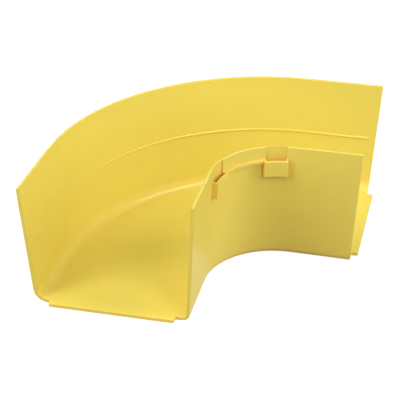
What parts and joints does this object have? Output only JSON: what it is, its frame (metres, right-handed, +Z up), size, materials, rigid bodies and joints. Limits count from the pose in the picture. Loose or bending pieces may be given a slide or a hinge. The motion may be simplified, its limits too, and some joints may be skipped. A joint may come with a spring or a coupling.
{
  "type": "fibre raceway fitting",
  "caption": "Open right-angle bend for a fibre cable raceway: a drafted yellow channel with coupler tabs and cover catch pockets.",
  "frame": {"origin": "middle of the part's box in plan, at the level of the floor's underside", "axes": "+Z up, out of the open top; one leg of the channel runs towards -Y and the other towards +X, so the part is symmetric about the plane y = -x"},
  "size_m": [0.2858, 0.2858, 0.118],
  "materials": {
    "yellow_plastic": "satin moulded"
  },
  "bodies": {
    "root": {"raceway_elbow": "yellow_plastic"}
  },
  "joints": []
}
